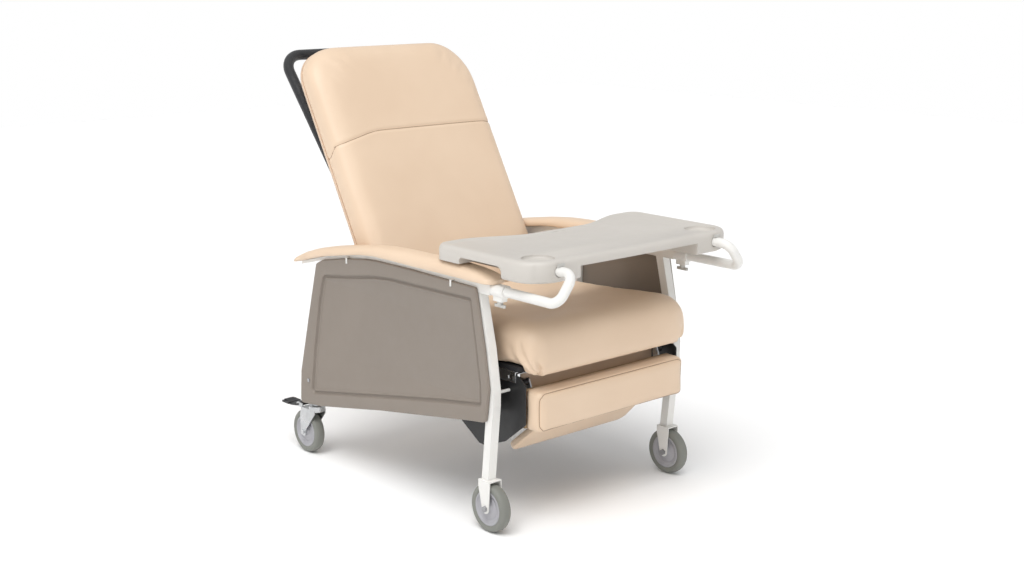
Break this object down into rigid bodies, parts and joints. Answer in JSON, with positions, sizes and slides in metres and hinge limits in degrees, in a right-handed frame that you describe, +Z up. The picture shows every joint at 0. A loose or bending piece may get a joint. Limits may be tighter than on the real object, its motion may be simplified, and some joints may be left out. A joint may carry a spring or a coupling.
{
  "type": "patient recliner chair",
  "caption": "Upholstered reclining care chair on wheels: padded back, seat and leg rest that move together, plastic side panels, padded arms and a tray on two bent tubes.",
  "frame": {"origin": "on the floor under the middle of the chair's box", "axes": "+Z up, the sitter faces -Y, the sitter's left is +X"},
  "size_m": [0.724, 1.2879, 1.1704],
  "materials": {
    "frame_paint": "satin powder coat",
    "black_metal": "satin black paint",
    "zinc": "bright zinc plate",
    "vinyl": "smooth upholstery vinyl",
    "plywood": "plain plywood",
    "board_cover": "black dust cloth",
    "back_vinyl": "smooth upholstery vinyl",
    "panel_plastic": "fine grain",
    "tray_plastic": "fine grain",
    "grip_foam": "closed-cell foam",
    "fasteners": "plated",
    "clip_plastic": "smooth",
    "tyre": "non-marking",
    "hub_plastic": "smooth",
    "pedal_plastic": "smooth"
  },
  "bodies": {
    "frame": {"front_leg_left": "frame_paint", "front_leg_right": "frame_paint", "rear_leg_left": "frame_paint", "rear_leg_right": "frame_paint", "arm_tube_left": "frame_paint", "arm_tube_right": "frame_paint", "lower_rail_left": "frame_paint", "lower_rail_right": "frame_paint", "rear_cross_tube": "frame_paint", "seat_cradle": "frame_paint", "seat_side_plate_left": "black_metal", "seat_side_plate_right": "black_metal", "seat_rail_left": "zinc", "seat_rail_right": "zinc", "seat_board": "board_cover", "seat_cushion": "vinyl", "side_panel_left": "panel_plastic", "side_panel_right": "panel_plastic", "arm_pad_left": "vinyl", "arm_pad_right": "vinyl", "frame_screws": "fasteners", "tray_clamp_left": "frame_paint", "tray_clamp_right": "frame_paint", "front_fork_left": "frame_paint", "front_fork_right": "frame_paint", "front_axle_bolts": "fasteners", "caster_stems": "zinc", "back_pivot_bolts": "fasteners"},
    "back": {"back_cushion": "vinyl", "back_board": "back_vinyl", "back_frame": "frame_paint", "push_handle": "frame_paint", "handle_grip": "grip_foam"},
    "link_left": {"drive_link_left": "black_metal"},
    "link_right": {"drive_link_right": "black_metal"},
    "carrier": {"leg_rest_carrier": "black_metal"},
    "calf_rest": {"calf_pad": "vinyl", "calf_board": "plywood", "calf_hinge_brackets": "zinc"},
    "foot_panel": {"foot_panel_cover": "vinyl", "foot_board": "plywood", "foot_hinge_leaves": "zinc"},
    "tray": {"tray": "tray_plastic", "tray_tube_left": "frame_paint", "tray_tube_right": "frame_paint", "tray_clips": "clip_plastic"},
    "knob_left": {"clamp_knob_left": "clip_plastic"},
    "knob_right": {"clamp_knob_right": "clip_plastic"},
    "front_wheel_left": {"front_tyre_left": "tyre", "front_hub_left": "hub_plastic"},
    "front_wheel_right": {"front_tyre_right": "tyre", "front_hub_right": "hub_plastic"},
    "caster_left": {"rear_fork_left": "zinc"},
    "caster_right": {"rear_fork_right": "zinc"},
    "rear_wheel_left": {"rear_tyre_left": "tyre", "rear_hub_left": "hub_plastic"},
    "rear_wheel_right": {"rear_tyre_right": "tyre", "rear_hub_right": "hub_plastic"},
    "pedal_left": {"brake_pedal_left": "pedal_plastic"},
    "pedal_right": {"brake_pedal_right": "pedal_plastic"}
  },
  "joints": [
    {"name": "back_recline", "type": "hinge", "parent": "frame", "child": "back", "pos_m": [0, 0.0744, 0.45], "axis": [-1, 0, 0], "range_deg": [0, 40]},
    {"name": "leg_rest_slide", "type": "slide", "parent": "frame", "child": "carrier", "axis": [0, -1, 0], "range_m": [0, 0.08]},
    {"name": "calf_lift", "type": "hinge", "parent": "carrier", "child": "calf_rest", "pos_m": [0, -0.4236, 0.381], "axis": [-1, 0, 0], "range_deg": [0, 80]},
    {"name": "foot_unfold", "type": "hinge", "parent": "calf_rest", "child": "foot_panel", "pos_m": [0, -0.4246, 0.268], "axis": [-1, 0, 0], "range_deg": [0, 47.5]},
    {"name": "drive_link_left", "type": "hinge", "parent": "back", "child": "link_left", "pos_m": [0.266, 0.11442, 0.34006], "axis": [-1, 0, 0], "range_deg": [-40, 0]},
    {"name": "drive_link_right", "type": "hinge", "parent": "back", "child": "link_right", "pos_m": [-0.266, 0.11442, 0.34006], "axis": [-1, 0, 0], "range_deg": [-40, 0]},
    {"name": "tray_slide", "type": "slide", "parent": "frame", "child": "tray", "axis": [0, -1, 0], "range_m": [0, 0.1]},
    {"name": "clamp_knob_left", "type": "hinge", "parent": "frame", "child": "knob_left", "pos_m": [0.327, -0.4276, 0.595], "axis": [0, 0, 1], "range_deg": [-90, 90]},
    {"name": "front_wheel_left", "type": "hinge", "parent": "frame", "child": "front_wheel_left", "pos_m": [0.327, -0.3916, 0.0635], "axis": [1, 0, 0], "continuous": true},
    {"name": "caster_swivel_left", "type": "hinge", "parent": "frame", "child": "caster_left", "pos_m": [0.327, 0.3814, 0.14], "axis": [0, 0, 1], "continuous": true},
    {"name": "rear_wheel_left", "type": "hinge", "parent": "caster_left", "child": "rear_wheel_left", "pos_m": [0.327, 0.4264, 0.0635], "axis": [1, 0, 0], "continuous": true},
    {"name": "brake_pedal_left", "type": "hinge", "parent": "caster_left", "child": "pedal_left", "pos_m": [0.327, 0.4534, 0.14], "axis": [-1, 0, 0], "range_deg": [0, 6]},
    {"name": "clamp_knob_right", "type": "hinge", "parent": "frame", "child": "knob_right", "pos_m": [-0.327, -0.4276, 0.595], "axis": [0, 0, 1], "range_deg": [-90, 90]},
    {"name": "front_wheel_right", "type": "hinge", "parent": "frame", "child": "front_wheel_right", "pos_m": [-0.327, -0.3916, 0.0635], "axis": [1, 0, 0], "continuous": true},
    {"name": "caster_swivel_right", "type": "hinge", "parent": "frame", "child": "caster_right", "pos_m": [-0.327, 0.3814, 0.14], "axis": [0, 0, 1], "continuous": true},
    {"name": "rear_wheel_right", "type": "hinge", "parent": "caster_right", "child": "rear_wheel_right", "pos_m": [-0.327, 0.4264, 0.0635], "axis": [1, 0, 0], "continuous": true},
    {"name": "brake_pedal_right", "type": "hinge", "parent": "caster_right", "child": "pedal_right", "pos_m": [-0.327, 0.4534, 0.14], "axis": [-1, 0, 0], "range_deg": [0, 6]}
  ],
  "couplings": [
    {"joint": "leg_rest_slide", "follows": "back_recline", "m_per_rad": 0.11459},
    {"joint": "calf_lift", "follows": "back_recline", "ratio": 2},
    {"joint": "foot_unfold", "follows": "back_recline", "ratio": 1.1875},
    {"joint": "drive_link_left", "follows": "back_recline", "ratio": -1},
    {"joint": "drive_link_right", "follows": "back_recline", "ratio": -1}
  ]
}
